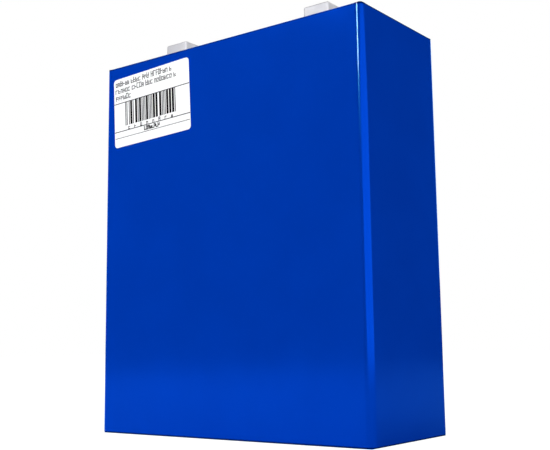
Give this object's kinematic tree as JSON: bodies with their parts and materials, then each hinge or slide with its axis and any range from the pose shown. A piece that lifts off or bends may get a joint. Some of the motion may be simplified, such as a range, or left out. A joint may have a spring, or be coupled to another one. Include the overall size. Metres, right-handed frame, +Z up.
{
  "type": "prismatic lithium battery cell",
  "caption": "Tall rectangular sealed battery cell in a blue film sleeve, with a paper label and two welded aluminium terminal bars with threaded holes.",
  "frame": {"origin": "centre of the base, on the plane that the cell stands on", "axes": "+Z up towards the terminals, X along the cell's width with the positive terminal on +X, -Y towards the big face with the label"},
  "size_m": [0.1741, 0.0721, 0.2178],
  "materials": {
    "film_blue": "gloss",
    "top_sheet": "satin",
    "label_paper": "satin",
    "can_aluminium": "satin",
    "terminal_aluminium": "satin",
    "vent_aluminium": "satin",
    "copper": "satin",
    "insulator_black": "satin",
    "insulator_white": "satin",
    "seal_rubber": "matte",
    "plug_rubber": "matte",
    "clear_film": "gloss",
    "cathode_black": "matte",
    "anode_graphite": "matte",
    "separator_white": "satin",
    "tab_aluminium": "satin",
    "tape_green": "satin",
    "tape_blue": "satin",
    "bag_plastic": "satin"
  },
  "bodies": {
    "root": {"barcode_label": "label_paper", "bottom_patch": "film_blue", "bottom_support_plate": "insulator_white", "case_can": "can_aluminium", "core_back_anode": "anode_graphite", "core_back_cathode": "cathode_black", "core_back_inner_separator": "separator_white", "core_back_negative_tabs": "copper", "core_back_outer_separator": "separator_white", "core_back_positive_tabs": "tab_aluminium", "core_back_tape": "tape_blue", "core_front_anode": "anode_graphite", "core_front_cathode": "cathode_black", "core_front_inner_separator": "separator_white", "core_front_negative_tabs": "copper", "core_front_outer_separator": "separator_white", "core_front_positive_tabs": "tab_aluminium", "core_front_tape": "tape_blue", "fill_cap": "vent_aluminium", "fill_plug": "plug_rubber", "insulation_bag": "bag_plastic", "lid_plate": "can_aluminium", "negative_collector": "copper", "negative_lower_insulator": "insulator_white", "negative_pad": "terminal_aluminium", "negative_rivet": "copper", "negative_seal_ring": "seal_rubber", "negative_tab_tape": "tape_green", "negative_terminal_block": "terminal_aluminium", "negative_upper_insulator": "insulator_black", "positive_collector": "tab_aluminium", "positive_lower_insulator": "insulator_white", "positive_pad": "terminal_aluminium", "positive_rivet": "terminal_aluminium", "positive_seal_ring": "seal_rubber", "positive_tab_tape": "tape_green", "positive_terminal_block": "terminal_aluminium", "positive_upper_insulator": "insulator_black", "top_patch": "top_sheet", "vent_disc": "vent_aluminium", "vent_guard_film": "clear_film", "wrap_film": "film_blue"}
  },
  "joints": []
}
